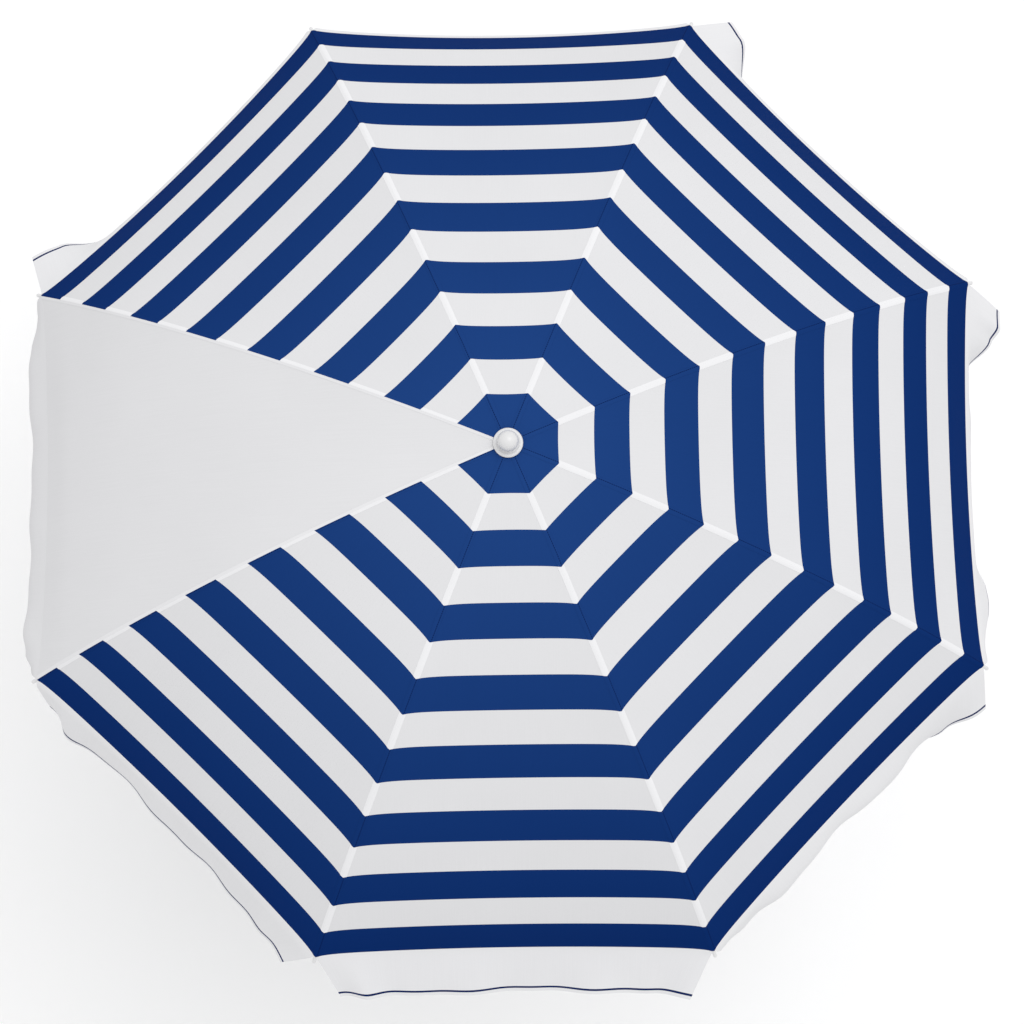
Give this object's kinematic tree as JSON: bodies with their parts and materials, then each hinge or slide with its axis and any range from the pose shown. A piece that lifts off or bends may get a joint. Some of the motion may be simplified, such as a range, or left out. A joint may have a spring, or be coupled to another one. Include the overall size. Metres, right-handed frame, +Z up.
{
  "type": "beach umbrella",
  "caption": "Open striped beach umbrella with curved ribs, a wavy valance and a ball finial, on a two-part pole that tilts, slides to height and folds shut.",
  "frame": {"origin": "on the pole's axis, at the lower end of the ground pole's straight tube, where its socket or the sand takes it", "axes": "+Z up along the pole; the plain white panel faces -X"},
  "size_m": [1.5329, 1.5631, 2.0057],
  "materials": {
    "striped_cloth": "woven polyester, printed stripes",
    "plain_cloth": "woven polyester",
    "pole_paint": "satin",
    "steel": "zinc plated",
    "white_plastic": "moulded"
  },
  "bodies": {
    "ground": {"ground_spike": "white_plastic", "ground_pole": "pole_paint", "pole_collar": "white_plastic"},
    "screw": {"clamp_screw": "white_plastic"},
    "shaft": {"shaft": "pole_paint", "tilt_yoke": "white_plastic", "tilt_pin": "steel"},
    "tilt_button": {"tilt_button": "white_plastic"},
    "canopy_pole": {"tilt_tongue": "white_plastic", "canopy_pole": "pole_paint", "crown_hub": "white_plastic", "crown_wire": "steel", "finial": "white_plastic"},
    "runner": {"runner": "white_plastic", "runner_wire": "steel"},
    "runner_latch": {"runner_latch": "white_plastic"},
    "rib_1": {"rib_1": "steel", "canopy_panel_1": "striped_cloth"},
    "rib_2": {"rib_2": "steel", "canopy_panel_2": "striped_cloth"},
    "rib_3": {"rib_3": "steel", "canopy_panel_3": "striped_cloth"},
    "rib_4": {"rib_4": "steel", "canopy_panel_4": "plain_cloth"},
    "rib_5": {"rib_5": "steel", "canopy_panel_5": "striped_cloth"},
    "rib_6": {"rib_6": "steel", "canopy_panel_6": "striped_cloth"},
    "rib_7": {"rib_7": "steel", "canopy_panel_7": "striped_cloth"},
    "rib_8": {"rib_8": "steel", "canopy_panel_8": "striped_cloth"},
    "rod_1": {"rib_rod_1": "steel", "rib_tip_1": "white_plastic"},
    "rod_2": {"rib_rod_2": "steel", "rib_tip_2": "white_plastic"},
    "rod_3": {"rib_rod_3": "steel", "rib_tip_3": "white_plastic"},
    "rod_4": {"rib_rod_4": "steel", "rib_tip_4": "white_plastic"},
    "rod_5": {"rib_rod_5": "steel", "rib_tip_5": "white_plastic"},
    "rod_6": {"rib_rod_6": "steel", "rib_tip_6": "white_plastic"},
    "rod_7": {"rib_rod_7": "steel", "rib_tip_7": "white_plastic"},
    "rod_8": {"rib_rod_8": "steel", "rib_tip_8": "white_plastic"},
    "stretcher_1": {"stretcher_1": "steel"},
    "stretcher_2": {"stretcher_2": "steel"},
    "stretcher_3": {"stretcher_3": "steel"},
    "stretcher_4": {"stretcher_4": "steel"},
    "stretcher_5": {"stretcher_5": "steel"},
    "stretcher_6": {"stretcher_6": "steel"},
    "stretcher_7": {"stretcher_7": "steel"},
    "stretcher_8": {"stretcher_8": "steel"}
  },
  "joints": [
    {"name": "runner_slide", "type": "slide", "parent": "canopy_pole", "child": "runner", "axis": [0, 0, -1], "range_m": [0, 0.46437], "deforming": ["canopy_panel_1", "canopy_panel_2", "canopy_panel_3", "canopy_panel_4", "canopy_panel_5", "canopy_panel_6", "canopy_panel_7", "canopy_panel_8"]},
    {"name": "tilt_hinge", "type": "hinge", "parent": "shaft", "child": "canopy_pole", "pos_m": [0, 0, 1.095], "axis": [0, 1, 0], "range_deg": [-35, 0]},
    {"name": "height_slide", "type": "slide", "parent": "ground", "child": "shaft", "axis": [0, 0, 1], "range_m": [-0.1, 0.15]},
    {"name": "clamp_screw_turn", "type": "hinge", "parent": "ground", "child": "screw", "pos_m": [0.03, 0, 0.835], "axis": [1, 0, 0], "range_deg": [0, 540]},
    {"name": "tilt_button_press", "type": "slide", "parent": "shaft", "child": "tilt_button", "axis": [0, -1, 0], "range_m": [0, 0.003], "stiffness_N_per_m": 600, "springref_m": -0.001},
    {"name": "runner_latch_pull", "type": "slide", "parent": "runner", "child": "runner_latch", "axis": [1, 0, 0], "range_m": [0, 0.004], "stiffness_N_per_m": 600, "springref_m": -0.001},
    {"name": "rib_1_hinge", "type": "hinge", "parent": "canopy_pole", "child": "rib_1", "pos_m": [0.01571, 0.00651, 1.89987], "axis": [-0.3827, 0.9239, 0], "range_deg": [-0.5, 77.5]},
    {"name": "rod_1_hinge", "type": "hinge", "parent": "rib_1", "child": "rod_1", "pos_m": [0.31813, 0.13177, 1.8458], "axis": [-0.3827, 0.9239, 0], "range_deg": [-19.7, 0.5]},
    {"name": "stretcher_1_hinge", "type": "hinge", "parent": "rib_1", "child": "stretcher_1", "pos_m": [0.31614, 0.13095, 1.83914], "axis": [-0.3827, 0.9239, 0], "range_deg": [-138.07, 0.5]},
    {"name": "rib_2_hinge", "type": "hinge", "parent": "canopy_pole", "child": "rib_2", "pos_m": [0.00651, 0.01571, 1.89987], "axis": [-0.9239, 0.3827, 0], "range_deg": [-0.5, 77.5]},
    {"name": "rod_2_hinge", "type": "hinge", "parent": "rib_2", "child": "rod_2", "pos_m": [0.13177, 0.31813, 1.8458], "axis": [-0.9239, 0.3827, 0], "range_deg": [-19.7, 0.5]},
    {"name": "stretcher_2_hinge", "type": "hinge", "parent": "rib_2", "child": "stretcher_2", "pos_m": [0.13095, 0.31614, 1.83914], "axis": [-0.9239, 0.3827, 0], "range_deg": [-138.07, 0.5]},
    {"name": "rib_3_hinge", "type": "hinge", "parent": "canopy_pole", "child": "rib_3", "pos_m": [-0.00651, 0.01571, 1.89987], "axis": [-0.9239, -0.3827, 0], "range_deg": [-0.5, 77.5]},
    {"name": "rod_3_hinge", "type": "hinge", "parent": "rib_3", "child": "rod_3", "pos_m": [-0.13177, 0.31813, 1.8458], "axis": [-0.9239, -0.3827, 0], "range_deg": [-19.7, 0.5]},
    {"name": "stretcher_3_hinge", "type": "hinge", "parent": "rib_3", "child": "stretcher_3", "pos_m": [-0.13095, 0.31614, 1.83914], "axis": [-0.9239, -0.3827, 0], "range_deg": [-138.07, 0.5]},
    {"name": "rib_4_hinge", "type": "hinge", "parent": "canopy_pole", "child": "rib_4", "pos_m": [-0.01571, 0.00651, 1.89987], "axis": [-0.3827, -0.9239, 0], "range_deg": [-0.5, 77.5]},
    {"name": "rod_4_hinge", "type": "hinge", "parent": "rib_4", "child": "rod_4", "pos_m": [-0.31813, 0.13177, 1.8458], "axis": [-0.3827, -0.9239, 0], "range_deg": [-19.7, 0.5]},
    {"name": "stretcher_4_hinge", "type": "hinge", "parent": "rib_4", "child": "stretcher_4", "pos_m": [-0.31614, 0.13095, 1.83914], "axis": [-0.3827, -0.9239, 0], "range_deg": [-138.07, 0.5]},
    {"name": "rib_5_hinge", "type": "hinge", "parent": "canopy_pole", "child": "rib_5", "pos_m": [-0.01571, -0.00651, 1.89987], "axis": [0.3827, -0.9239, 0], "range_deg": [-0.5, 77.5]},
    {"name": "rod_5_hinge", "type": "hinge", "parent": "rib_5", "child": "rod_5", "pos_m": [-0.31813, -0.13177, 1.8458], "axis": [0.3827, -0.9239, 0], "range_deg": [-19.7, 0.5]},
    {"name": "stretcher_5_hinge", "type": "hinge", "parent": "rib_5", "child": "stretcher_5", "pos_m": [-0.31614, -0.13095, 1.83914], "axis": [0.3827, -0.9239, 0], "range_deg": [-138.07, 0.5]},
    {"name": "rib_6_hinge", "type": "hinge", "parent": "canopy_pole", "child": "rib_6", "pos_m": [-0.00651, -0.01571, 1.89987], "axis": [0.9239, -0.3827, 0], "range_deg": [-0.5, 77.5]},
    {"name": "rod_6_hinge", "type": "hinge", "parent": "rib_6", "child": "rod_6", "pos_m": [-0.13177, -0.31813, 1.8458], "axis": [0.9239, -0.3827, 0], "range_deg": [-19.7, 0.5]},
    {"name": "stretcher_6_hinge", "type": "hinge", "parent": "rib_6", "child": "stretcher_6", "pos_m": [-0.13095, -0.31614, 1.83914], "axis": [0.9239, -0.3827, 0], "range_deg": [-138.07, 0.5]},
    {"name": "rib_7_hinge", "type": "hinge", "parent": "canopy_pole", "child": "rib_7", "pos_m": [0.00651, -0.01571, 1.89987], "axis": [0.9239, 0.3827, 0], "range_deg": [-0.5, 77.5]},
    {"name": "rod_7_hinge", "type": "hinge", "parent": "rib_7", "child": "rod_7", "pos_m": [0.13177, -0.31813, 1.8458], "axis": [0.9239, 0.3827, 0], "range_deg": [-19.7, 0.5]},
    {"name": "stretcher_7_hinge", "type": "hinge", "parent": "rib_7", "child": "stretcher_7", "pos_m": [0.13095, -0.31614, 1.83914], "axis": [0.9239, 0.3827, 0], "range_deg": [-138.07, 0.5]},
    {"name": "rib_8_hinge", "type": "hinge", "parent": "canopy_pole", "child": "rib_8", "pos_m": [0.01571, -0.00651, 1.89987], "axis": [0.3827, 0.9239, 0], "range_deg": [-0.5, 77.5]},
    {"name": "rod_8_hinge", "type": "hinge", "parent": "rib_8", "child": "rod_8", "pos_m": [0.31813, -0.13177, 1.8458], "axis": [0.3827, 0.9239, 0], "range_deg": [-19.7, 0.5]},
    {"name": "stretcher_8_hinge", "type": "hinge", "parent": "rib_8", "child": "stretcher_8", "pos_m": [0.31614, -0.13095, 1.83914], "axis": [0.3827, 0.9239, 0], "range_deg": [-138.07, 0.5]}
  ],
  "couplings": [
    {"joint": "rib_1_hinge", "follows": "runner_slide", "rad_per_m": 2.894},
    {"joint": "rod_1_hinge", "follows": "runner_slide", "rad_per_m": -0.72163},
    {"joint": "stretcher_1_hinge", "follows": "runner_slide", "rad_per_m": -5.1706},
    {"joint": "rib_2_hinge", "follows": "runner_slide", "rad_per_m": 2.894},
    {"joint": "rod_2_hinge", "follows": "runner_slide", "rad_per_m": -0.72163},
    {"joint": "stretcher_2_hinge", "follows": "runner_slide", "rad_per_m": -5.1706},
    {"joint": "rib_3_hinge", "follows": "runner_slide", "rad_per_m": 2.894},
    {"joint": "rod_3_hinge", "follows": "runner_slide", "rad_per_m": -0.72163},
    {"joint": "stretcher_3_hinge", "follows": "runner_slide", "rad_per_m": -5.1706},
    {"joint": "rib_4_hinge", "follows": "runner_slide", "rad_per_m": 2.894},
    {"joint": "rod_4_hinge", "follows": "runner_slide", "rad_per_m": -0.72163},
    {"joint": "stretcher_4_hinge", "follows": "runner_slide", "rad_per_m": -5.1706},
    {"joint": "rib_5_hinge", "follows": "runner_slide", "rad_per_m": 2.894},
    {"joint": "rod_5_hinge", "follows": "runner_slide", "rad_per_m": -0.72163},
    {"joint": "stretcher_5_hinge", "follows": "runner_slide", "rad_per_m": -5.1706},
    {"joint": "rib_6_hinge", "follows": "runner_slide", "rad_per_m": 2.894},
    {"joint": "rod_6_hinge", "follows": "runner_slide", "rad_per_m": -0.72163},
    {"joint": "stretcher_6_hinge", "follows": "runner_slide", "rad_per_m": -5.1706},
    {"joint": "rib_7_hinge", "follows": "runner_slide", "rad_per_m": 2.894},
    {"joint": "rod_7_hinge", "follows": "runner_slide", "rad_per_m": -0.72163},
    {"joint": "stretcher_7_hinge", "follows": "runner_slide", "rad_per_m": -5.1706},
    {"joint": "rib_8_hinge", "follows": "runner_slide", "rad_per_m": 2.894},
    {"joint": "rod_8_hinge", "follows": "runner_slide", "rad_per_m": -0.72163},
    {"joint": "stretcher_8_hinge", "follows": "runner_slide", "rad_per_m": -5.1706}
  ]
}
